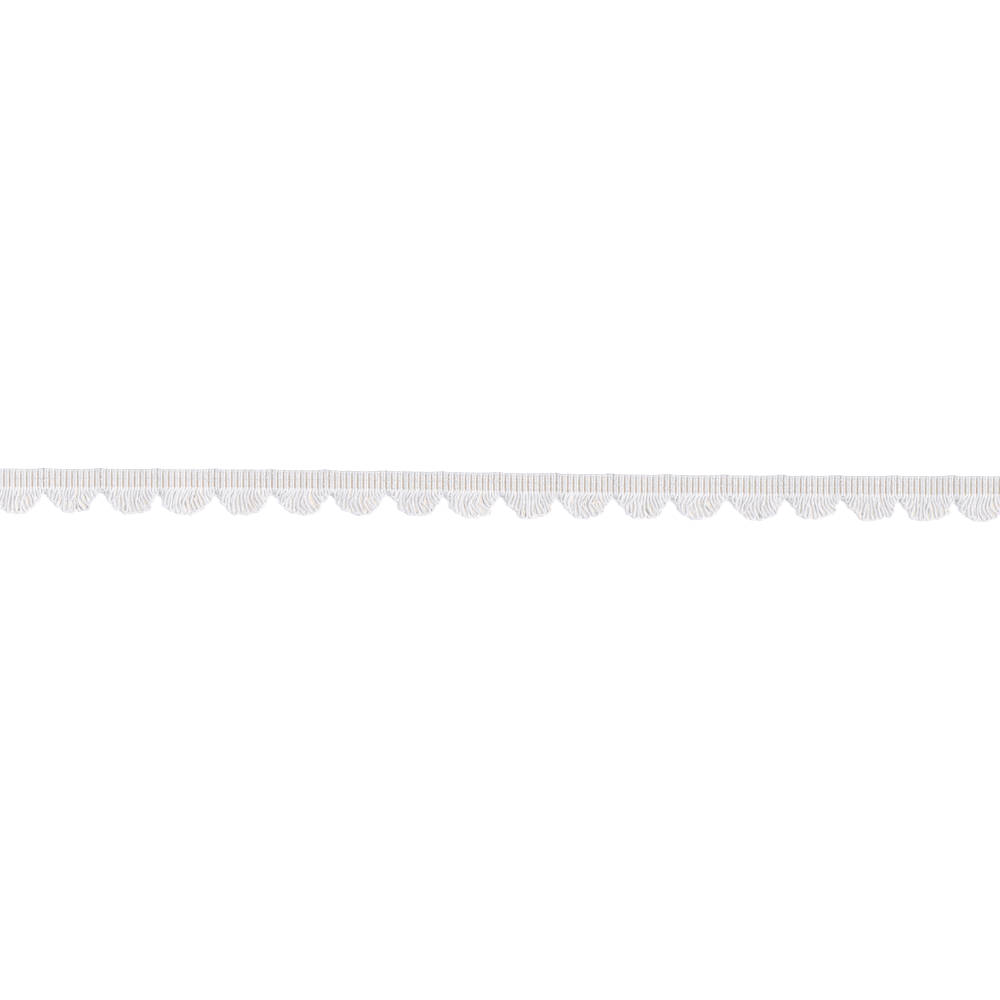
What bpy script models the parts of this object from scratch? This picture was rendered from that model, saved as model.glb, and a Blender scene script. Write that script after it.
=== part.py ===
"""Fan edge trim: a narrow woven cotton heading with a skirt of uncut loops, graded into fans.

The trim lies flat on its underside. X runs along the trim, +Y from the fans to the heading,
and Z is up. Everything is in metres.
"""

import math
import random
from collections import namedtuple

import bmesh
import bpy
from mathutils import Vector

MM = 0.001

# The repeat: one rib is a pair of yarns laid across the trim, and ten ribs make a fan
RIB_PITCH = 2.95 * MM
RIBS_PER_FAN = 10
FAN_COUNT = 18
RIB_COUNT = FAN_COUNT * RIBS_PER_FAN
FAN_PITCH = RIBS_PER_FAN * RIB_PITCH
TRIM_LENGTH = FAN_COUNT * FAN_PITCH

# The line of the upper edge: the strip lies in a gentle S, lower at its right end
SLOPE_DROP = 4.1 * MM
SLOPE_MIDDLE = -15.0 * MM
SLOPE_SPREAD = 135.0 * MM

# The heading, whose upper edge lifts a little over each valley between two fans
HEADING_WIDTH = 9.6 * MM
HEADING_HEIGHT = 1.9 * MM
GROOVE_HALF_WIDTH = 0.42 * MM
GROOVE_DEPTH = 0.75 * MM
TURN_INSET = 0.25 * MM  # how far a groove notches the upper edge between two yarn turns
EDGE_LIFT = 0.5 * MM
EDGE_LIFT_REACH = 5.0 * MM

# The root strip of each fan, where its loops leave the weave
PIECE_GAP = 0.3 * MM
STRIP_WIDTH = 0.9 * MM
STRIP_HEIGHT = 1.5 * MM
STRIP_TOP = HEADING_WIDTH + PIECE_GAP
STRIP_BOTTOM = STRIP_TOP + STRIP_WIDTH

# One loop: the pair of yarns of one rib, as a flat lock with a rounded end
LOOP_WIDTH = 2.2 * MM
LOOP_HEIGHT = 1.75 * MM
LOOP_SIDE_SLOPE = 0.35 * MM
LOOP_END_LENGTH = 1.0 * MM
LOOP_END_SHARE = 0.5  # the end's width and height, as a share of the lock's
STATION_SPACING = 2.6 * MM
REACH_UNEVENNESS = 0.3 * MM
LEAN_UNEVENNESS = 0.2 * MM
SEED = 41

# Half a fan's loops, from the valley to the middle. Reach is how far below the upper edge a
# loop ends, lean how far its tip swings outwards, bloom how much wider it opens there, and
# the shares say how much of the fan's own unevenness it takes. Sizes are in millimetres.
LoopRow = namedtuple("LoopRow", "reach lean bloom flank_share middle_share")
LOOP_TABLE = (
    LoopRow(14.2, 0.1, 0.0, 0.2, 0.0),
    LoopRow(17.0, 1.7, 0.0, 0.8, 0.0),
    LoopRow(19.4, 2.7, 0.3, 1.0, 0.2),
    LoopRow(21.5, 2.4, 0.9, 0.5, 0.8),
    LoopRow(22.8, 0.9, 1.2, 0.0, 1.0),
)

# Each fan's own unevenness, in millimetres: how much further its left flank, middle and right
# flank reach, and how far its longest loops drift to the right
FanRow = namedtuple("FanRow", "left middle right drift")
FAN_TABLE = (
    FanRow(0.0, 0.2, 0.3, 0.0),
    FanRow(0.2, -0.5, -1.4, -0.1),
    FanRow(-0.4, 0.3, 0.9, 0.0),
    FanRow(0.8, 0.3, 0.1, -0.2),
    FanRow(0.5, 0.4, -0.3, -0.1),
    FanRow(0.2, 0.1, -0.6, 0.3),
    FanRow(0.0, 0.0, -0.6, 1.0),
    FanRow(-1.2, 0.0, -0.3, 1.1),
    FanRow(1.0, 0.2, -0.3, 0.8),
    FanRow(-0.4, 0.2, 0.6, 0.6),
    FanRow(0.7, -0.3, -1.1, 0.3),
    FanRow(-0.7, -0.1, 0.3, 0.1),
    FanRow(0.7, -0.3, -1.1, 0.7),
    FanRow(-0.2, -0.1, 0.3, 1.3),
    FanRow(-1.0, -0.6, -0.4, 1.2),
    FanRow(-0.5, -0.2, 1.5, 0.9),
    FanRow(0.2, 0.4, 1.3, 0.3),
    FanRow(1.1, 0.4, -1.0, 0.0),
)

LONGEST = LOOP_TABLE[-1].reach * MM - STRIP_BOTTOM

HEADING_COLOUR = (0.78, 0.74, 0.70, 1.0)
FRINGE_COLOUR = (0.82, 0.81, 0.80, 1.0)
COTTON_ROUGHNESS = 0.9


def clear_scene():
    for obj in list(bpy.data.objects):
        bpy.data.objects.remove(obj, do_unlink=True)


def cotton(name, colour):
    material = bpy.data.materials.new(name)
    material.use_nodes = True
    shader = material.node_tree.nodes["Principled BSDF"]
    shader.inputs["Base Color"].default_value = colour
    shader.inputs["Roughness"].default_value = COTTON_ROUGHNESS
    shader.inputs["Metallic"].default_value = 0.0
    return material


def strip_line(x):
    """The Y of the upper edge at X, without the lifts over the valleys."""
    return -SLOPE_DROP * 0.5 * (1.0 + math.tanh((x - SLOPE_MIDDLE) / SLOPE_SPREAD))


def edge_lift(x):
    """How much the upper edge lifts at X: a soft bump over each valley."""
    fans_along = (x + TRIM_LENGTH / 2.0) / FAN_PITCH
    from_valley = abs(fans_along - round(fans_along)) * FAN_PITCH
    if from_valley >= EDGE_LIFT_REACH:
        return 0.0
    return EDGE_LIFT * 0.5 * (1.0 + math.cos(math.pi * from_valley / EDGE_LIFT_REACH))


def object_from(bm, name, material):
    """Makes an object of a bmesh, with its faces pointing outwards."""
    bmesh.ops.recalc_face_normals(bm, faces=bm.faces)
    mesh = bpy.data.meshes.new(name)
    bm.to_mesh(mesh)
    bm.free()
    mesh.materials.append(material)
    obj = bpy.data.objects.new(name, mesh)
    bpy.context.scene.collection.objects.link(obj)
    return obj


def build_heading(material):
    """The woven band: one flat-topped ridge for each rib, with a groove between each two."""
    bm = bmesh.new()

    def across(x, z, inset):
        """A vertex on the upper edge and one on the lower edge, at one place along the band."""
        upper = strip_line(x) + edge_lift(x) - inset
        lower = strip_line(x) - HEADING_WIDTH
        return bm.verts.new((x, upper, z)), bm.verts.new((x, lower, z))

    left = -TRIM_LENGTH / 2.0
    groove_floor = HEADING_HEIGHT - GROOVE_DEPTH
    starts = [left + i * RIB_PITCH for i in range(RIB_COUNT + 1)]
    grooves = [across(x, groove_floor, TURN_INSET) for x in starts]
    feet = [across(x, 0.0, TURN_INSET) for x in starts]
    for i in range(RIB_COUNT):
        ridge_left = across(starts[i] + GROOVE_HALF_WIDTH, HEADING_HEIGHT, 0.0)
        ridge_right = across(starts[i + 1] - GROOVE_HALF_WIDTH, HEADING_HEIGHT, 0.0)
        profile = (feet[i], grooves[i], ridge_left, ridge_right, grooves[i + 1], feet[i + 1])
        for here, there in zip(profile[1:], profile[2:-1]):
            bm.faces.new((here[0], here[1], there[1], there[0]))
        bm.faces.new((feet[i][0], feet[i + 1][0], feet[i + 1][1], feet[i][1]))
        for edge in (0, 1):
            bm.faces.new([pair[edge] for pair in profile])
    for end in (0, -1):
        bm.faces.new((grooves[end][0], feet[end][0], feet[end][1], grooves[end][1]))
    return object_from(bm, "heading", material)


def fan_loops(fan, dice):
    """What each loop of a fan is: its root's X, its length below the strip, lean and bloom."""
    extra = FAN_TABLE[fan]
    left = -TRIM_LENGTH / 2.0 + fan * FAN_PITCH
    loops = []
    for i in range(RIBS_PER_FAN):
        on_left = i < RIBS_PER_FAN // 2
        row = LOOP_TABLE[i if on_left else RIBS_PER_FAN - 1 - i]
        flank = extra.left if on_left else extra.right
        reach = (row.reach + flank * row.flank_share + extra.middle * row.middle_share) * MM
        reach += REACH_UNEVENNESS * dice.uniform(-1.0, 1.0)
        length = reach - STRIP_BOTTOM
        lean = (-row.lean if on_left else row.lean) * MM
        lean += (extra.drift * MM + LEAN_UNEVENNESS * dice.uniform(-1.0, 1.0)) * length / LONGEST
        loops.append({
            "root": left + (i + 0.5) * RIB_PITCH,
            "length": length,
            "lean": lean,
            "bloom": row.bloom * MM,
        })
    return loops


def grow_loop(bm, face, loop):
    """Extrudes one lock out of its face on the strip, along a path that leans outwards."""
    length = loop["length"]
    straight = length - LOOP_END_LENGTH
    spans = max(1, round(straight / STATION_SPACING))
    stations = [(straight * (i + 1) / spans, 1.0) for i in range(spans)]
    stations.append((length, LOOP_END_SHARE))
    for along, share in stations:
        part = along / length
        half_width = 0.5 * share * (LOOP_WIDTH + loop["bloom"] * part)
        height = share * LOOP_HEIGHT
        centre = Vector((loop["root"] + loop["lean"] * part**2, 0.0, 0.0))
        centre.y = strip_line(loop["root"]) - STRIP_BOTTOM - along
        across = Vector((1.0, 2.0 * loop["lean"] * part / length, 0.0)).normalized()

        face = bmesh.ops.extrude_discrete_faces(bm, faces=[face])["faces"][0]
        middle = face.calc_center_median()
        for vertex in face.verts:
            is_top = vertex.co.z > middle.z
            half = half_width - (LOOP_SIDE_SLOPE if is_top else 0.0)
            side = 1.0 if vertex.co.x > middle.x else -1.0
            vertex.co = centre + across * half * side + Vector((0.0, 0.0, height * is_top))


def build_fan(fan, dice, material):
    """One fan: its root strip with ten looped locks growing out of it, as one solid."""
    bm = bmesh.new()
    loops = fan_loops(fan, dice)
    left = -TRIM_LENGTH / 2.0 + fan * FAN_PITCH
    stations = [left + PIECE_GAP / 2.0]
    for loop in loops:
        stations += [loop["root"] - LOOP_WIDTH / 2.0, loop["root"] + LOOP_WIDTH / 2.0]
    stations.append(left + FAN_PITCH - PIECE_GAP / 2.0)

    # The strip's section starts with its two front corners, so its side 0 carries the loops
    section = ((STRIP_BOTTOM, 0.0), (STRIP_BOTTOM, STRIP_HEIGHT), (STRIP_TOP, STRIP_HEIGHT),
               (STRIP_TOP, 0.0))
    rings = [[bm.verts.new((x, strip_line(x) - depth, z)) for depth, z in section]
             for x in stations]
    root_faces = []
    for i, (here, there) in enumerate(zip(rings, rings[1:])):
        sides = [bm.faces.new((here[k - 1], there[k - 1], there[k], here[k])) for k in (1, 2, 3, 0)]
        if i % 2 == 1:
            root_faces.append(sides[0])
    bm.faces.new(rings[0])
    bm.faces.new(rings[-1])
    bmesh.ops.recalc_face_normals(bm, faces=bm.faces)

    for face, loop in zip(root_faces, loops):
        grow_loop(bm, face, loop)
    return object_from(bm, f"fan_{fan + 1:02d}", material)


def centre_on_origin(objects):
    """Puts the middle of the whole trim's footprint over the origin."""
    points = [vertex.co for obj in objects for vertex in obj.data.vertices]
    middle = Vector((0.0, 0.0, 0.0))
    middle.x = (min(p.x for p in points) + max(p.x for p in points)) / 2.0
    middle.y = (min(p.y for p in points) + max(p.y for p in points)) / 2.0
    for point in points:
        point -= middle


def main():
    clear_scene()
    dice = random.Random(SEED)
    heading_cotton = cotton("heading_cotton", HEADING_COLOUR)
    fringe_cotton = cotton("fringe_cotton", FRINGE_COLOUR)
    pieces = [build_heading(heading_cotton)]
    pieces += [build_fan(fan, dice, fringe_cotton) for fan in range(FAN_COUNT)]
    centre_on_origin(pieces)


main()
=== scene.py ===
import bpy
import bmesh
import math
import random
from mathutils import Matrix, Vector


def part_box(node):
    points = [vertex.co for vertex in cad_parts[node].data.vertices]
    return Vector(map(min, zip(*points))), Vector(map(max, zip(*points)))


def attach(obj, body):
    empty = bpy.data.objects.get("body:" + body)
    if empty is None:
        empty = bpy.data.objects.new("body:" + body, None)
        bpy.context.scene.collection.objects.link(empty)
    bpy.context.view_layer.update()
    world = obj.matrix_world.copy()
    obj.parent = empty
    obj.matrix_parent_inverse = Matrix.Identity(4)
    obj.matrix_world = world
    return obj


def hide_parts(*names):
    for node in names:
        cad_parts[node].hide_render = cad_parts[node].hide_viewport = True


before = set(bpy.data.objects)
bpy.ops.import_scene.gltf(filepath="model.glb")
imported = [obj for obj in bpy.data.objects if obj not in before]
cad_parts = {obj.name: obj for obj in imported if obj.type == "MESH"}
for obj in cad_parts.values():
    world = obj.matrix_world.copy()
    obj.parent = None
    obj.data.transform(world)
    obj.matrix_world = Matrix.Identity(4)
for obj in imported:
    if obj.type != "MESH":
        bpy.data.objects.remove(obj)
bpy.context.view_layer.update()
print("frame loaded:", len(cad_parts), "nodes")

mm = 0.001

# The trim's layout: depths are measured down from its upper edge, across the strip
trim = {
    "ribPitch": 2.95 * mm,
    "ribsPerFan": 10,
    "fans": 18,
    "headingDepth": 10.1 * mm,   # where the loops leave the weave
    "slopeDrop": 4.1 * mm,       # the strip lies in a gentle S
    "slopeMiddle": -15.0 * mm,
    "slopeSpread": 135.0 * mm,
    "edgeLift": 0.5 * mm,        # the upper edge rises a little over each valley
    "edgeLiftReach": 5.0 * mm,
    "capRise": 0.25 * mm,        # the ribs' round ends stand this far above the solid heading
    "ribShift": 0.18 * mm,       # the ribs lie a little to the right, past the first quarter more
    "ribStretch": 0.45 * mm,
    "stretchMiddle": -132.0 * mm,
    "stretchSpread": 31.0 * mm,
}
fanPitch = trim["ribPitch"] * trim["ribsPerFan"]
leftEnd = -0.5 * fanPitch * trim["fans"]


def slopeAt(x):
    return -0.5 * trim["slopeDrop"] * (1 + math.tanh((x - trim["slopeMiddle"]) / trim["slopeSpread"]))


# the heading's highest place is the lift over its left end, so that end gives the strip's height
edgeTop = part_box("heading")[1][1] - trim["edgeLift"] - slopeAt(leftEnd) + trim["capRise"]


def liftAt(x):
    fansAlong = (x - leftEnd) / fanPitch
    away = abs(fansAlong - round(fansAlong)) * fanPitch / trim["edgeLiftReach"]
    return trim["edgeLift"] * 0.5 * (1 + math.cos(math.pi * min(1.0, away)))


def place(x, depth, z):
    # a point on the trim: the lift fades out down the heading
    fade = max(0.0, 1 - depth / trim["headingDepth"])
    along = math.tanh((x - trim["stretchMiddle"]) / trim["stretchSpread"])
    x += trim["ribShift"] + trim["ribStretch"] * along
    return Vector((x, edgeTop + slopeAt(x) + liftAt(x) * fade - depth, z))


def smooth(t):
    t = min(1.0, max(0.0, t))
    return t * t * (3 - 2 * t)


# Camera: straight above the strip, with the photograph's framing
view = {"across": 0.52, "middle": (0.9 * mm, -2.9 * mm), "lens": 100, "sensor": 36}


def makeCamera():
    data = bpy.data.cameras.new("camera")
    data.lens = view["lens"]
    data.sensor_width = view["sensor"]
    camera = bpy.data.objects.new("camera", data)
    bpy.context.scene.collection.objects.link(camera)
    camera.location = (*view["middle"], view["across"] * view["lens"] / view["sensor"])
    data.clip_start = 0.01
    data.clip_end = 20
    bpy.context.scene.camera = camera


makeCamera()

# Materials
# Yarn colours: the darker one serves the fibres' streaks and each strand's own tone, and also painted
# shade in the ply valleys, at the round upper ends and in the fringe; the creamy one is painted warm
# shade for the gaps between loops; the shadow one is painted shade for loops turned from the light
cottons = {
    "yarn": {"light": (0.765, 0.75, 0.737, 1), "dark": (0.57, 0.571, 0.59, 1),
             "warmShade": (0.83, 0.71, 0.56, 1), "shadow": (0.44, 0.41, 0.40, 1), "rough": 0.85},
    "binding": {"light": (0.74, 0.73, 0.72, 1), "dark": (0.58, 0.56, 0.54, 1),
                "warmShade": (0.83, 0.71, 0.56, 1), "shadow": (0.44, 0.41, 0.40, 1), "rough": 0.85},
    # the ground's tan colours are painted warm shade for the grooves, paler towards the upper edge
    "ground": {"light": (0.88, 0.64, 0.37, 1), "dark": (0.75, 0.49, 0.24, 1),
               "paleTop": (0.84, 0.73, 0.61, 1), "rough": 0.9},
}
spunLook = {
    "sheen": 0.5, "sheenRough": 0.5, "specular": 0.25,
    "fineness": 6.0, "drawnOut": 0.12, "detail": 3,        # the fibres, drawn out along the yarn
    "fibreFrom": 0.3, "fibreTo": 0.7,
    "byPly": 0.55, "byFibre": 0.25, "byStrand": 0.2,       # how much each adds to the lightness
    "turnedFrom": -0.6, "turned": -3.0, "turnedShare": 0.7,
    "bump": 0.5, "bumpDepth": 0.08 * mm,
}
weaveLook = {
    "sheen": 0.2, "specular": 0.2, "threads": 900.0, "waver": 1.0, "detail": 1.0,
    "bump": 0.6, "bumpDepth": 0.1 * mm,
}


def link(tree, a, output, b, entry):
    tree.links.new(a.outputs[output], b.inputs[entry])


def node(tree, kind, **values):
    made = tree.nodes.new(kind)
    for name, value in values.items():
        setattr(made, name, value)
    return made


def makeSpunFibre():
    # fine fibres that follow the ply: reads the strand's own coordinates and gives a mask
    group = bpy.data.node_groups.new("spunFibre", "ShaderNodeTree")
    group.interface.new_socket("Fineness", in_out="INPUT", socket_type="NodeSocketFloat")
    group.interface.new_socket("Fibre", in_out="OUTPUT", socket_type="NodeSocketFloat")
    start = node(group, "NodeGroupInput")
    end = node(group, "NodeGroupOutput")
    spun = node(group, "ShaderNodeAttribute", attribute_name="spun")
    squeeze = node(group, "ShaderNodeMapping")
    squeeze.inputs["Scale"].default_value = (1.0, 1.0, spunLook["drawnOut"])
    noise = node(group, "ShaderNodeTexNoise")
    noise.inputs["Detail"].default_value = spunLook["detail"]
    link(group, spun, "Vector", squeeze, "Vector")
    link(group, squeeze, "Vector", noise, "Vector")
    link(group, start, "Fineness", noise, "Scale")
    link(group, noise, "Fac", end, "Fibre")
    return group


def makeYarnCotton(name, spec, fibre):
    material = bpy.data.materials.new(name)
    material.use_nodes = True
    tree = material.node_tree
    shader = tree.nodes["Principled BSDF"]
    shader.inputs["Roughness"].default_value = spec["rough"]
    shader.inputs["Sheen Weight"].default_value = spunLook["sheen"]
    shader.inputs["Sheen Roughness"].default_value = spunLook["sheenRough"]
    shader.inputs["Specular IOR Level"].default_value = spunLook["specular"]
    spin = node(tree, "ShaderNodeGroup")
    spin.node_tree = fibre
    spin.inputs["Fineness"].default_value = spunLook["fineness"]
    tone = node(tree, "ShaderNodeAttribute", attribute_name="tone")
    parts = node(tree, "ShaderNodeSeparateXYZ")
    link(tree, tone, "Vector", parts, "Vector")
    # painted shade: the crown of a ply is light, the valley between two plies dark
    ply = node(tree, "ShaderNodeMapRange")
    ply.inputs["To Max"].default_value = spunLook["byPly"]
    link(tree, parts, "X", ply, "Value")
    streak = node(tree, "ShaderNodeMapRange")
    streak.inputs["From Min"].default_value = spunLook["fibreFrom"]
    streak.inputs["From Max"].default_value = spunLook["fibreTo"]
    streak.inputs["To Max"].default_value = spunLook["byFibre"]
    link(tree, spin, "Fibre", streak, "Value")
    strand = node(tree, "ShaderNodeMath", operation="MULTIPLY")
    strand.inputs[1].default_value = spunLook["byStrand"]
    link(tree, parts, "Y", strand, 0)
    plyAndFibre = node(tree, "ShaderNodeMath", operation="ADD")
    link(tree, ply, "Result", plyAndFibre, 0)
    link(tree, streak, "Result", plyAndFibre, 1)
    lightness = node(tree, "ShaderNodeMath", operation="ADD")
    link(tree, plyAndFibre, "Value", lightness, 0)
    link(tree, strand, "Value", lightness, 1)
    colour = node(tree, "ShaderNodeMix", data_type="RGBA")
    colour.inputs["A"].default_value = spec["dark"]
    colour.inputs["B"].default_value = spec["light"]
    link(tree, lightness, "Value", colour, "Factor")
    # painted warm shade: the creamy colour, mixed in by the tone's third part, for the gaps between
    # loops
    warm = node(tree, "ShaderNodeMix", data_type="RGBA")
    warm.inputs["B"].default_value = spec["warmShade"]
    tree.links.new(colour.outputs[2], warm.inputs["A"])
    tree.links.new(parts.outputs["Z"], warm.inputs["Factor"])
    # loops turned from the light have a strand shade well below nought
    turned = node(tree, "ShaderNodeMapRange")
    turned.inputs["From Min"].default_value = spunLook["turnedFrom"]
    turned.inputs["From Max"].default_value = spunLook["turned"]
    turned.inputs["To Max"].default_value = spunLook["turnedShare"]
    link(tree, parts, "Y", turned, "Value")
    dim = node(tree, "ShaderNodeMix", data_type="RGBA")
    dim.inputs["B"].default_value = spec["shadow"]
    tree.links.new(warm.outputs[2], dim.inputs["A"])
    link(tree, turned, "Result", dim, "Factor")
    tree.links.new(dim.outputs[2], shader.inputs["Base Color"])
    bump = node(tree, "ShaderNodeBump")
    bump.inputs["Strength"].default_value = spunLook["bump"]
    bump.inputs["Distance"].default_value = spunLook["bumpDepth"]
    link(tree, spin, "Fibre", bump, "Height")
    link(tree, bump, "Normal", shader, "Normal")
    return material


def makeGroundWeaveWarmShade(name, spec):
    # a plain weave of fine threads, along and across; its tan is painted warm shade for the grooves
    # between the ribs
    material = bpy.data.materials.new(name)
    material.use_nodes = True
    tree = material.node_tree
    shader = tree.nodes["Principled BSDF"]
    shader.inputs["Roughness"].default_value = spec["rough"]
    shader.inputs["Sheen Weight"].default_value = weaveLook["sheen"]
    shader.inputs["Specular IOR Level"].default_value = weaveLook["specular"]
    where = node(tree, "ShaderNodeTexCoord")
    waves = []
    for direction in ("X", "Y"):
        wave = node(tree, "ShaderNodeTexWave", bands_direction=direction)
        wave.inputs["Scale"].default_value = weaveLook["threads"]
        wave.inputs["Distortion"].default_value = weaveLook["waver"]
        wave.inputs["Detail"].default_value = weaveLook["detail"]
        link(tree, where, "Object", wave, "Vector")
        waves.append(wave)
    both = node(tree, "ShaderNodeMath", operation="MULTIPLY")
    link(tree, waves[0], "Fac", both, 0)
    link(tree, waves[1], "Fac", both, 1)
    colour = node(tree, "ShaderNodeMix", data_type="RGBA")
    colour.inputs["A"].default_value = spec["dark"]
    colour.inputs["B"].default_value = spec["light"]
    tree.links.new(both.outputs["Value"], colour.inputs["Factor"])
    # the painted warm shade is paler in the upper part
    fade = node(tree, "ShaderNodeAttribute", attribute_name="fade")
    towardTop = node(tree, "ShaderNodeMix", data_type="RGBA")
    towardTop.inputs["B"].default_value = spec["paleTop"]
    tree.links.new(colour.outputs[2], towardTop.inputs["A"])
    link(tree, fade, "Fac", towardTop, "Factor")
    tree.links.new(towardTop.outputs[2], shader.inputs["Base Color"])
    bump = node(tree, "ShaderNodeBump")
    bump.inputs["Strength"].default_value = weaveLook["bump"]
    bump.inputs["Distance"].default_value = weaveLook["bumpDepth"]
    link(tree, both, "Value", bump, "Height")
    link(tree, bump, "Normal", shader, "Normal")
    return material


spunFibre = makeSpunFibre()
yarnCotton = makeYarnCotton("yarnCotton", cottons["yarn"], spunFibre)
bindingCotton = makeYarnCotton("bindingCotton", cottons["binding"], spunFibre)
groundWeaveWarmShade = makeGroundWeaveWarmShade("groundWeaveWarmShade", cottons["ground"])
print("materials made")

# Yarns: a lobed ring is pushed along a path and turns as it goes
loopYarn = {"radius": 0.72 * mm, "flat": 0.82, "sides": 12, "plies": 3, "lobe": 0.1,
            "twist": 6.0 * mm, "step": 0.62 * mm, "bend": 0.42}
lowerYarn = {"radius": 0.72 * mm, "flat": 0.82, "sides": 9, "plies": 3, "lobe": 0.08,
             "twist": 6.0 * mm, "step": 1.05 * mm, "bend": 0.42}
bindingYarn = {"radius": 0.15 * mm, "flat": 1.0, "sides": 4, "plies": 2, "lobe": 0.0,
               "twist": 1.4 * mm, "step": 0.5 * mm, "bend": 0.6}
snagYarn = {"radius": 0.2 * mm, "flat": 0.8, "sides": 6, "plies": 2, "lobe": 0.0,
            "twist": 1.4 * mm, "step": 0.4 * mm, "bend": 0.5}
edgeYarn = {"radius": 0.54 * mm, "flat": 1.0, "sides": 9, "plies": 3, "lobe": 0.1,
            "twist": 4.0 * mm, "step": 0.8 * mm, "bend": 0.5}
rimYarn = {"radius": 0.28 * mm, "flat": 1.0, "sides": 6, "plies": 2, "lobe": 0.1,
           "twist": 2.0 * mm, "step": 0.8 * mm, "bend": 0.5}
curve = {"between": 8, "tries": 4}   # points between two given ones, and places tried for a ring


def evenPath(points, step):
    # a smooth curve through the points, read off at even steps
    fine = []
    count = len(points)
    for i in range(count - 1):
        a, b = points[max(0, i - 1)], points[i]
        c, d = points[i + 1], points[min(count - 1, i + 2)]
        for k in range(curve["between"]):
            t = k / curve["between"]
            fine.append(0.5 * (2 * b + (c - a) * t + (2 * a - 5 * b + 4 * c - d) * t * t
                               + (3 * b - a - 3 * c + d) * t * t * t))
    fine.append(points[-1])
    total = sum((q - p).length for p, q in zip(fine, fine[1:]))
    pieces = max(2, round(total / step))
    even, gone, wanted = [fine[0]], 0.0, total / pieces
    for p, q in zip(fine, fine[1:]):
        span = (q - p).length
        while len(even) < pieces and gone + span >= wanted * len(even):
            even.append(p.lerp(q, (wanted * len(even) - gone) / span))
        gone += span
    even.append(fine[-1])
    return even, wanted


def ringPlaces(points, yarn):
    # the rings of a strand: point, way ahead and length so far, closer together in the bends
    fine, spacing = evenPath(points, yarn["step"] / curve["tries"])
    last = len(fine) - 1
    kept = [0]
    for k in range(1, last):
        bend = (fine[kept[-1] + 1] - fine[kept[-1]]).angle(fine[k + 1] - fine[k])
        if k - kept[-1] >= curve["tries"] or bend > yarn["bend"]:
            kept.append(k)
    kept.append(last)
    return [(fine[k], (fine[min(k + 1, last)] - fine[max(k - 1, 0)]).normalized(), k * spacing)
            for k in kept]


def spinStrand(into, points, yarn, dice, sizeAt=None, toneAt=None):
    # spun holds the place round and along the strand; tone holds the ply's crown, which masks painted
    # shade in the ply valleys, the strand's own shade with painted light and shade added on the loops
    # and the rim thread, and its share of painted warm shade
    bm = bmesh.new()
    spun = bm.verts.layers.float_vector.new("spun")
    tone = bm.verts.layers.float_vector.new("tone")
    ring = bmesh.ops.create_circle(bm, segments=yarn["sides"], radius=1.0)["verts"]
    along = dice.uniform(0, 500)
    shade = dice.random()
    for vert in ring:
        angle = math.atan2(vert.co.y, vert.co.x)
        # a ply's crown: shapes the lobed ring, and masks the painted shade in the valleys between
        # plies
        crown = 0.5 + 0.5 * math.cos(yarn["plies"] * angle)
        vert.co *= 1 - yarn["lobe"] * (1 - crown)
        vert[spun] = (math.cos(angle), math.sin(angle), along)
        vert[tone] = (crown, shade, 0)
    turn = dice.uniform(0, math.tau)
    facing = Matrix.Identity(3)
    before = Matrix.Identity(4)
    squash = Matrix.Diagonal((1, 1, yarn["flat"], 1))
    wayBefore = Vector((0, 0, 1))
    edges = bm.edges[:]
    for point, way, gone in ringPlaces(points, yarn):
        facing = wayBefore.rotation_difference(way).to_matrix() @ facing
        wayBefore = way
        if gone > 0:
            made = bmesh.ops.extrude_edge_only(bm, edges=edges)["geom"]
            ring = [g for g in made if isinstance(g, bmesh.types.BMVert)]
            edges = [g for g in made if isinstance(g, bmesh.types.BMEdge)]
            for vert in ring:
                vert[spun].z = along + gone / yarn["radius"]
        if toneAt:
            paler, warmShade = toneAt(point)
            for vert in ring:
                vert[tone].y = shade + paler
                vert[tone].z = warmShade
        size = yarn["radius"] * (sizeAt(point) if sizeAt else 1.0)
        spin = Matrix.Rotation(turn + math.tau * gone / yarn["twist"], 4, "Z")
        now = Matrix.Translation(point) @ squash @ facing.to_4x4() @ spin @ Matrix.Scale(size, 4)
        bmesh.ops.transform(bm, matrix=now @ before.inverted(), verts=ring)
        before = now
    bmesh.ops.holes_fill(bm, edges=bm.edges, sides=yarn["sides"])
    bmesh.ops.recalc_face_normals(bm, faces=bm.faces)
    strand = bpy.data.meshes.new("strand")
    bm.to_mesh(strand)
    bm.free()
    into.from_mesh(strand)
    bpy.data.meshes.remove(strand)


def finishPiece(bm, name, material, slotName, *nodes):
    mesh = bpy.data.meshes.new(name)
    bm.to_mesh(mesh)
    bm.free()
    mesh.shade_smooth()
    mesh.materials.append(material)
    piece = bpy.data.objects.new(name, mesh)
    bpy.context.scene.collection.objects.link(piece)
    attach(piece, "root")
    if nodes:
        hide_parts(*nodes)
    return piece


# The loops: the same rows as the solids have, from the valley to the middle of a fan, in mm:
# reach below the upper edge, more of it on the right, lean of the tip, and the shares of the
# fan's own unevenness
loopRows = [
    {"reach": 12.3, "right": 0.3, "lean": 0.2, "open": 0.9, "flank": 0.2, "middle": 0.0},
    {"reach": 15.3, "right": 0.4, "lean": 1.35, "open": 0.88, "flank": 0.8, "middle": 0.0},
    {"reach": 18.2, "right": 0.3, "lean": 2.65, "open": 0.90, "flank": 1.0, "middle": 0.2},
    {"reach": 21.1, "right": 0.3, "lean": 2.4, "open": 1.10, "flank": 0.5, "middle": 0.8},
    {"reach": 23.0, "right": 0.0, "lean": 1.0, "open": 1.15, "flank": 0.0, "middle": 1.0},
]
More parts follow.
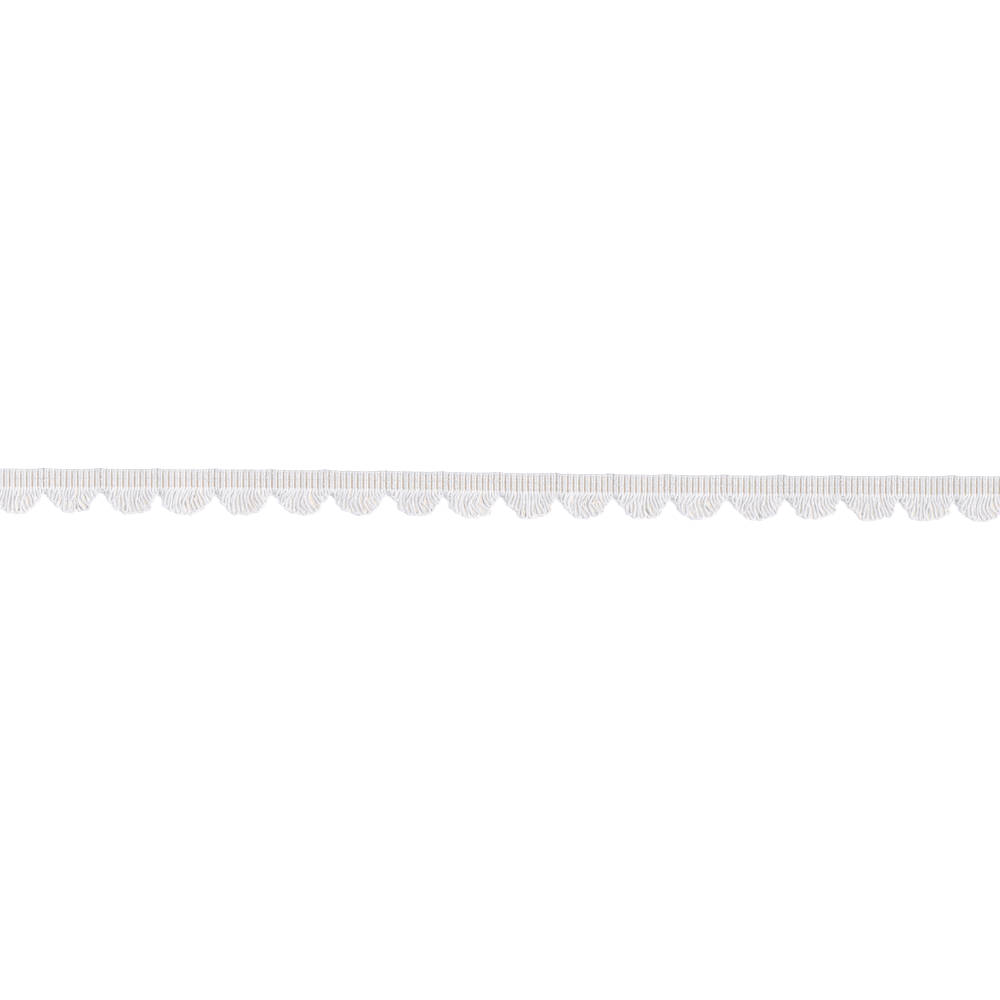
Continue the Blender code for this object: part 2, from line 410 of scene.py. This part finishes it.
# For each fan, in mm: its left flank, middle and right flank reach this much further, its tips
# drift to the right, and its loops bow to the right halfway down, to the left where below nought
fanRows = [
    (0.0, 0.2, 0.3, 0.4, -0.8), (0.2, -0.5, -1.4, 0.1, -0.9), (-0.4, 0.3, 0.9, 0.6, -1.0),
    (0.8, 0.3, 0.1, 0.4, -2.0), (0.5, 0.4, -0.3, 0.4, -2.0), (0.2, 0.1, -0.6, 0.7, -1.8),
    (0.0, 0.0, -0.6, 1.1, -1.5), (-1.2, 0.0, -0.3, 1.2, -2.0), (1.0, 0.2, -0.3, 1.0, -2.4),
    (-0.4, 0.2, 0.6, 0.9, 0.1), (0.7, -0.3, -1.1, 0.7, -2.6), (-0.7, -0.1, 0.3, 0.5, -1.2),
    (0.7, -0.3, -1.1, 0.9, -2.6), (-0.2, -0.1, 0.3, 1.4, -1.4), (-1.0, -0.6, -0.4, 1.3, -0.6),
    (-0.5, -0.2, 1.5, 1.1, 0.3), (0.2, 0.4, 1.3, 0.6, 0.0), (1.1, 0.4, -1.0, 0.3, -1.6),
]
# Fans whose loops part in the middle: the place in rib pitches, and how far apart in mm
partings = {1: (5.6, 1.1), 4: (5.1, 0.6), 11: (5.3, 0.8), 14: (4.6, 0.5)}
parting = {"over": 1.6}          # rib pitches on either side
# Places where a fan's outline has a step, its loops longer on the inner side and shorter outside
fanSteps = {1: (6.6,), 2: (7.4,), 3: (2.2,), 5: (7.1,), 7: (2.9,), 8: (1.8, 7.1), 9: (3.7, 7.6),
            11: (3.2, 7.1), 13: (3.7, 7.6), 14: (3.2, 7.6), 15: (3.7, 8.1), 16: (2.6, 8.1)}
stepping = {"rise": 1.3 * mm, "over": 1.4}

heading = {
    "pairHalf": 0.55 * mm,       # half the spacing of a rib's two yarns
    "capHalf": 0.66 * mm,        # the same where they meet in a round end at the upper edge
    "yarnZ": 1.26 * mm,
    "backZ": 0.64 * mm,          # the ribs on the underside
    "capJitter": 0.14,           # mm, how unevenly the round ends stand at the upper edge
    "backLift": 0.3,             # mm, the underside's round ends stand lower
    "capTop": 0.86,              # mm down, where a yarn turns over into its other leg
    "capPast": 0.3 * mm,         # it goes this far past the rib's middle
    "capDip": 0.25 * mm,
    "bends": (3.6, 5.2, 6.8, 8.2),   # mm down, places where a rib may waver
    "waver": 0.03 * mm,
    "footDip": 0.06 * mm,
    "yarnSize": 0.985,
    "capSwell": 0.1,             # the yarn is thicker at the upper edge, down to capFoot
    "capFoot": 2.6,
    "swellOver": 1.2,            # mm, how gradually the thickness changes
}
fringe = {
    "seed": 1000,
    "pairHalf": 0.735 * mm,
    "upperZ": 1.36 * mm,
    "lowerZ": 0.95 * mm,
    # by the loop's place in its rib
    "lowerRise": (0.12 * mm, -0.15 * mm, 0.05 * mm, -0.2 * mm),
    "tipDrop": 0.3 * mm,
    "lowerSink": 0.25 * mm,
    "floorZ": 0.68 * mm,         # no yarn goes under the surface that the trim lies on
    "upperLift": (-0.1, 0.12),   # mm, how unevenly the loops lie
    "lowerLift": (-0.15, 0.15),
    "sway": 0.55 * mm,
    "legSway": 0.2 * mm,
    "reachJitter": 0.5 * mm,
    "leanJitter": 0.75 * mm,
    "openJitter": (0.88, 1.12),
    "sweepJitter": 0.25,
    "flankWidth": 3.2,           # rib pitches
    "valleyShift": 0.25,         # the fans sit this many rib pitches right of the ribs' tens
    "stepDepth": 1.5 * mm,       # on the flanks the lower loops between two ribs end earlier
    "shortest": 1.4 * mm,
    "leftTuck": 0.6 * mm,        # the left flank's upper loops end above the rim of lower ones
    "leftLean": 0.5,             # and lean more
    "flankBow": 0.7,             # the flanks' loops lean from the heading's foot on
    "crossShare": 0.6,           # only loops over this share of the longest cross their legs
    "crossing": 0.28,            # and this share of them does
    "crossRise": 0.3 * mm,
    "lowerLoops": 4,             # for each rib
    # the lower loops' share of painted warm shade: stronger on the loops that lie lowest, seen only
    # in the gaps
    "lowerWarmShade": (0.3, 0.75),   # by turns
    "lowerStart": 9.4 * mm,      # the lower loops come out from under the heading's foot
    "lowerShort": 0.2 * mm,      # and end this much earlier
    "swell": 1.12,               # the yarn is thicker where nothing binds it
    "bendEvery": 2.2 * mm,
    "spreadOver": 0.8 * mm,      # a pair of yarns spreads apart over this length
}
bindings = {
    "seed": 77,
    "depths": (2.1, 3.5, 4.8, 5.6, 6.9, 8.1),    # mm
    "over": (4.8, 5.6),          # these are thicker and lie higher, as a pale band
    "foot": 9.1,
    "wander": 0.1,
    "pinch": 0.09,               # how much each one nips the yarn, over pinchOver mm
    "pinchOver": 0.6,
    "overSize": 1.4,
    "shade": 1.5,
    "overZ": 1.84 * mm,          # on top of a yarn
    "dipZ": 1.7 * mm,            # between a rib's two yarns
    "overGrooveZ": 1.25 * mm,    # in the groove, for the pale band and for the rest
    "underGrooveZ": 0.97 * mm,
}
# Painted light and shade on the yarn, as shifts of each strand's shade: paler over the heading's
# ribs, darker at their round upper ends and in the fringe, and darker on the fan's outermost loops on
# the left
tones = {
    "flank": 0.3,                # the share of a fan, on the left, that is turned from the light
    "turnedUpper": -1.6,
    "rib": 0.6,
    "cap": -1.8,
    "fringe": -1.2,
}


def depthOf(point):
    return (edgeTop + slopeAt(point.x) + liftAt(point.x) - point.y) / mm


def sizeAt(point):
    # thick in the fringe and at the upper edge, nipped by each binding thread in between
    depth = depthOf(point)
    nip = min(abs(depth - d) for d in bindings["depths"] + (bindings["foot"],))
    size = heading["yarnSize"] - bindings["pinch"] * max(0.0, 1 - nip / bindings["pinchOver"])
    size += heading["capSwell"] * smooth((heading["capFoot"] - depth) / heading["swellOver"])
    return size + (fringe["swell"] - 1) * smooth((depth - bindings["foot"]) / heading["swellOver"])


def toneFor(shape, warmShade=0.0):
    # how much paler a loop's yarn is at a point, and its share of painted warm shade: painted light
    # over the heading's ribs, painted shade at their round upper ends, in the fringe and on the fan's
    # outermost loops on the left, which are turned from the light; the loops underneath get painted
    # warm shade for the gaps between the loops above, apart from their ends
    edge = smooth(1 - shape["across"] / tones["flank"])

    def toneHere(point):
        depth = depthOf(point)
        down = (depth * mm - trim["headingDepth"]) / shape["length"]
        if shape["lower"]:
            dark = spunLook["turned"] * edge * smooth(depth - bindings["foot"])
            return dark, warmShade * (1 - 0.7 * smooth((down - 0.75) / 0.25))
        # painted light over the ribs, painted shade at their round upper ends and in the fringe
        paler = tones["rib"] + tones["cap"] * smooth((2.2 - depth) / 1.4)
        paler += tones["fringe"] * smooth((depth - 10) / 3)
        return paler + tones["turnedUpper"] * edge * smooth((down - 0.3) / 0.5), 0
    return toneHere


def evenTone(shade):
    return lambda point: (shade, 0)


def loopShape(fan, spot, lower, dice):
    # where one loop goes: spot counts from the first rib's left groove, in rib pitches
    left, middle, right, drift, sweep = fanRows[fan]
    half = trim["ribsPerFan"] / 2
    root = leftEnd + fan * fanPitch + spot * trim["ribPitch"]
    between = abs(spot % 1 - 0.5) > 0.1
    # from here on it counts from the fan's own left valley
    spot -= fringe["valleyShift"]
    onLeft = spot < half
    inward = min(half - 0.5, max(0.0, half - 0.5 - abs(spot - half)))
    low = min(int(inward), len(loopRows) - 2)
    share = smooth(inward - low)
    row = {key: loopRows[low][key] * (1 - share) + loopRows[low + 1][key] * share
           for key in loopRows[0]}
    if abs(spot - half) < 0.3:
        row["lean"] = 0
    flank = left if onLeft else right
    reach = (row["reach"] + flank * row["flank"] + middle * row["middle"]) * mm
    reach += 0 if onLeft else row["right"] * mm
    reach += dice.uniform(-1, 1) * fringe["reachJitter"]
    for step in fanSteps.get(fan, ()):
        inside = spot - step if onLeft else step - spot
        if (step < half) == onLeft:
            near = max(0.0, 1 - abs(inside) / stepping["over"])
            reach += math.copysign(stepping["rise"], inside) * near
    flankness = 1 - smooth(inward / fringe["flankWidth"])
    if lower:
        # on the flanks each loop's end stands out from the ones under it
        reach -= fringe["lowerShort"] + flankness * (fringe["stepDepth"] if between else 0)
    elif onLeft:
        reach -= flankness * fringe["leftTuck"]
    length = max(fringe["shortest"], reach - trim["headingDepth"])
    share = length / (loopRows[-1]["reach"] * mm - trim["headingDepth"])
    lean = (-row["lean"] if onLeft else row["lean"]) * mm
    if onLeft and not lower:
        lean *= 1 + fringe["leftLean"] * flankness
    lean += drift * mm * share ** 0.4 + dice.uniform(-1, 1) * fringe["leanJitter"] * share
    if fan in partings:
        away = spot - partings[fan][0]
        lean += math.copysign(partings[fan][1] * mm, away) * smooth(parting["over"] - abs(away))
    # the flanks keep out of the sweep
    across = spot / (2 * half)
    sweep *= smooth((across + 0.05) / 0.4) * (1 - 1.2 * smooth((across - 0.6) / 0.32))
    return {
        "root": root,
        "across": across,
        "length": length,
        "lean": lean,
        "bow": 2 - fringe["flankBow"] * flankness,
        "open": row["open"] * dice.uniform(*fringe["openJitter"]) * mm,
        "sweep": (sweep * share ** 1.5 + dice.uniform(-1, 1) * fringe["sweepJitter"]) * mm,
        "sway": dice.uniform(-1, 1) * fringe["sway"] * share,
        "wander": (dice.uniform(0, math.tau), dice.uniform(0, math.tau)),
        "cross": share > fringe["crossShare"] and dice.random() < fringe["crossing"],
        "lift": dice.uniform(*fringe["lowerLift" if lower else "upperLift"]) * mm,
        "lower": lower,
    }


def legPoints(shape, side):
    # one leg of a loop, from the heading down to where its end begins to round
    length, openTo = shape["length"], shape["open"]
    lean, sweep = shape["lean"], shape["sweep"]
    straight = max(0.45, 1 - openTo / length)
    base = fringe["lowerZ"] if shape["lower"] else fringe["upperZ"]
    points = []
    if shape["lower"]:
        points.append(place(shape["root"] + side * fringe["pairHalf"], fringe["lowerStart"], base))
    steps = max(3, round(length / fringe["bendEvery"]))
    for k in range(steps + 1):
        t = straight * k / steps
        centre = shape["root"] + lean * t ** shape["bow"] + sweep * math.sin(math.pi * t ** 0.9)
        centre += shape["sway"] * math.sin(2.6 * math.pi * t)
        apart = fringe["pairHalf"] + (openTo - fringe["pairHalf"]) * smooth(t / straight)
        if not shape["lower"]:
            closed = 1 - smooth(t * length / fringe["spreadOver"])
            apart -= (fringe["pairHalf"] - heading["pairHalf"]) * closed
        apart += fringe["legSway"] * smooth(2 * t) * math.sin(7 * t + shape["wander"][side > 0])
        crossing = smooth((t - 0.15) / 0.5)
        swap = math.cos(math.pi * crossing) if shape["cross"] else 1.0
        rise = fringe["crossRise"] * side * math.sin(math.pi * crossing) if shape["cross"] else 0
        z = base + shape["lift"] * smooth(2 * t) + rise
        z -= fringe["lowerSink"] * t ** 2 if shape["lower"] else fringe["tipDrop"] * t ** 3
        z = max(z, fringe["floorZ"])
        # the two legs stay level across a leaning loop
        slant = (2 * lean * t + math.pi * sweep * math.cos(math.pi * t)) / length
        slant *= smooth(t * length / (2 * mm))
        points.append(place(centre + side * swap * apart, trim["headingDepth"] + length * t
                            - side * swap * apart * slant, z))
    return points


def tipPoints(first, last):
    # the round end between the two legs' ends
    middle = (first + last) / 2
    across = (last - first) / 2
    down = Vector((-across.y, across.x, 0))
    if down.y > 0:
        down.negate()
    return [middle - across * math.cos(a) + down * math.sin(a)
            for a in (math.pi * 0.25, math.pi * 0.5, math.pi * 0.75)]


def ribPoints(root, side, lift, z, dice):
    # one leg through the heading, from just past the middle of its round upper end to the foot
    half, cap = heading["pairHalf"], heading["capHalf"]
    points = [place(root - side * heading["capPast"], (heading["capTop"] + lift) * mm,
                    z - heading["capDip"])]
    for depth, apart in ((1.0 + lift, 0.72 * cap), (1.6, cap), (2.3, 0.5 * (cap + half))):
        points.append(place(root + side * apart, depth * mm, z))
    for depth in heading["bends"]:
        apart = half + dice.uniform(-1, 1) * heading["waver"]
        points.append(place(root + side * apart, depth * mm, z))
    points.append(place(root + side * half, bindings["foot"] * mm, z - heading["footDip"]))
    return points


def makeFan(fan):
    dice = random.Random(fringe["seed"] + fan)
    into = bmesh.new()
    for i in range(trim["ribsPerFan"]):
        shape = loopShape(fan, i + 0.5, False, dice)
        legs = {side: legPoints(shape, side) for side in (-1, 1)}
        lift = dice.uniform(-1, 1) * heading["capJitter"]
        points = ribPoints(shape["root"], -1, lift, heading["yarnZ"], dice) + legs[-1]
        points += tipPoints(legs[-1][-1], legs[1][-1]) + legs[1][::-1]
        points += ribPoints(shape["root"], 1, lift, heading["yarnZ"], dice)[::-1]
        spinStrand(into, points, loopYarn, dice, sizeAt, toneFor(shape))
    perRib, lift = fringe["lowerLoops"], heading["backLift"]
    for k in range(1, perRib * trim["ribsPerFan"]):
        shape = loopShape(fan, k / perRib, True, dice)
        shape["lift"] += fringe["lowerRise"][k % perRib]
        legs = {side: legPoints(shape, side) for side in (-1, 1)}
        points = legs[-1] + tipPoints(legs[-1][-1], legs[1][-1]) + legs[1][::-1]
        if k % perRib == perRib // 2:
            # these make the ribs on the underside of the heading
            points = ribPoints(shape["root"], -1, lift, heading["backZ"], dice) + points
            points += ribPoints(shape["root"], 1, lift, heading["backZ"], dice)[::-1]
        spinStrand(into, points, lowerYarn, dice, None, toneFor(shape, fringe["lowerWarmShade"][k % 2]))
    number = f"{fan + 1:02d}"
    return finishPiece(into, f"fanYarn_{number}", yarnCotton, "fringe_cotton", f"fan_{number}")


fans = [makeFan(fan) for fan in range(trim["fans"])]
print("fans spun:", sum(len(f.data.polygons) for f in fans), "faces")

# The thin ground that the yarns are woven round, seen in the grooves; its tan colour is painted warm
# shade
ground = {
    "width": 10.2 * mm,
    "inset": 0.95 * mm,          # from the upper edge
    "low": 0.34 * mm,
    "high": 0.9 * mm,
    "rows": 8,
    "footHigh": 0.66 * mm,       # it gets thinner under the loops' roots
    "footLow": 0.54 * mm,
    "footStart": 9.3 * mm,
    "footOver": 1.2 * mm,
    "fade": 0.7,
}


def makeGround():
    bm = bmesh.new()
    columns = trim["fans"] * trim["ribsPerFan"] * 2
    bmesh.ops.create_grid(bm, x_segments=columns, y_segments=ground["rows"], size=0.5)
    fade = bm.verts.layers.float.new("fade")
    for vert in bm.verts:
        vert[fade] = ground["fade"] * smooth(vert.co.y + 0.5)
    made = bmesh.ops.extrude_face_region(bm, geom=bm.faces[:])["geom"]
    upper = {g for g in made if isinstance(g, bmesh.types.BMVert)}
    for vert in bm.verts:
        x = vert.co.x * fanPitch * trim["fans"]
        depth = ground["inset"] + (0.5 - vert.co.y) * ground["width"]
        ends = smooth((depth - ground["footStart"]) / ground["footOver"])
        z, footZ = ("high", "footHigh") if vert in upper else ("low", "footLow")
        vert.co = place(x, depth, ground[z] + (ground[footZ] - ground[z]) * ends)
    bmesh.ops.recalc_face_normals(bm, faces=bm.faces)
    return finishPiece(bm, "groundClothWarmShade", groundWeaveWarmShade, "heading_cotton", "heading")


groundClothWarmShade = makeGround()
print("ground woven")


# Loose ends of thread caught across the ribs over each valley: up to so many grooves away, mm
# down, and their points as shares of the lean, mm further down, and whether they lie on top
snags = {"count": (3, 6), "grooves": 1, "depth": (1.2, 7.0), "lean": 1.1 * mm,
         "z": 1.8 * mm, "endZ": 1.4 * mm,
         "points": ((-1, 0, False), (-0.6, 0.3, True), (0.6, 0.9, True), (1, 1.2, False))}


def makeBindings():
    # fine threads along the heading, over each pair and down into each groove
    dice = random.Random(bindings["seed"])
    into = bmesh.new()
    pitch = trim["ribPitch"]
    half = heading["pairHalf"]
    for depth in bindings["depths"] + (bindings["foot"],):
        over = depth in bindings["over"]
        grooveZ = bindings["overGrooveZ"] if over else bindings["underGrooveZ"]
        size = bindings["overSize"] if over else 1.0
        course = ((0, grooveZ), (pitch / 2 - half, bindings["overZ"]),
                  (pitch / 2, bindings["dipZ"]), (pitch / 2 + half, bindings["overZ"]))
        for fan in range(trim["fans"]):
            points = []
            for rib in range(trim["ribsPerFan"]):
                x = leftEnd + fan * fanPitch + rib * pitch
                wander = dice.uniform(-bindings["wander"], bindings["wander"]) if rib else 0
                points += [place(x + dx, (depth + wander) * mm, z) for dx, z in course]
            points.append(place(leftEnd + (fan + 1) * fanPitch, depth * mm, grooveZ))
            spinStrand(into, points, bindingYarn, dice, lambda point: size,
                       evenTone(bindings["shade"]))
    for fan in range(1, trim["fans"]):
        for k in range(dice.randint(*snags["count"])):
            groove = dice.randint(-snags["grooves"], snags["grooves"])
            x = leftEnd + fan * fanPitch + groove * pitch
            depth = dice.uniform(*snags["depth"])
            lean = dice.choice((-1, 1)) * dice.uniform(0.5, 1.0) * snags["lean"]
            points = [place(x + share * lean, (depth + down) * mm, snags["z" if onTop else "endZ"])
                      for share, down, onTop in snags["points"]]
            spinStrand(into, points, snagYarn, dice, None, evenTone(bindings["shade"]))
    return finishPiece(into, "bindingThreads", bindingCotton, "heading_cotton")


bindingThreads = makeBindings()
print("binding threads laid:", len(bindingThreads.data.polygons), "faces")


# Two threads along the upper edge: a thick pale one under the round ends, and a fine one darkened
# with painted shade along the top
edgeSeed = 5
edging = [
    {"yarn": edgeYarn, "depth": 1.0 * mm, "z": 1.1 * mm, "shade": 0.0},
    {"yarn": rimYarn, "depth": 0.64 * mm, "z": 1.4 * mm, "shade": -1.7},
]


def makeEdgeCord():
    dice = random.Random(edgeSeed)
    into = bmesh.new()
    for fan in range(trim["fans"]):
        for thread in edging:
            points = []
            for k in range(trim["ribsPerFan"] + 1):
                x = leftEnd + fan * fanPitch + k * trim["ribPitch"]
                points.append(place(x, thread["depth"], thread["z"]))
            spinStrand(into, points, thread["yarn"], dice, None, evenTone(thread["shade"]))
    return finishPiece(into, "edgeCord", bindingCotton, "heading_cotton")


edgeCord = makeEdgeCord()
print("edge cord laid")

# Floor and light
studio = {"floor": 3.0, "floorTone": 0.95, "floorRough": 0.9, "world": 0.93,
          "worldTint": (0.94, 0.945, 1.0, 1)}
suns = [
    {"name": "key", "from": (0.95, -0.12, 0.8), "strength": 1.6, "soft": 25,
     "tint": (1.0, 0.985, 0.955)},
    {"name": "top", "from": (-0.1, 0.0, 1.0), "strength": 0.6, "soft": 60,
     "tint": (0.95, 0.96, 1.0)},
]


def makeStudio():
    bm = bmesh.new()
    bmesh.ops.create_grid(bm, x_segments=1, y_segments=1, size=studio["floor"])
    mesh = bpy.data.meshes.new("floor")
    bm.to_mesh(mesh)
    bm.free()
    floor = bpy.data.objects.new("floor", mesh)
    bpy.context.scene.collection.objects.link(floor)
    paper = bpy.data.materials.new("paleFloor")
    paper.use_nodes = True
    tone = studio["floorTone"]
    shader = paper.node_tree.nodes["Principled BSDF"]
    shader.inputs["Base Color"].default_value = (tone, tone, tone, 1)
    shader.inputs["Roughness"].default_value = studio["floorRough"]
    mesh.materials.append(paper)
    for sun in suns:
        data = bpy.data.lights.new(sun["name"], "SUN")
        data.energy = sun["strength"]
        data.angle = math.radians(sun["soft"])
        data.color = sun["tint"]
        lamp = bpy.data.objects.new(sun["name"], data)
        lamp.rotation_euler = Vector(sun["from"]).to_track_quat("Z", "Y").to_euler()
        bpy.context.scene.collection.objects.link(lamp)
    world = bpy.data.worlds.new("studio")
    world.use_nodes = True
    sky = world.node_tree.nodes["Background"]
    sky.inputs["Color"].default_value = studio["worldTint"]
    sky.inputs["Strength"].default_value = studio["world"]
    bpy.context.scene.world = world
    bpy.context.scene.view_settings.view_transform = "Standard"


makeStudio()
print("studio lit")
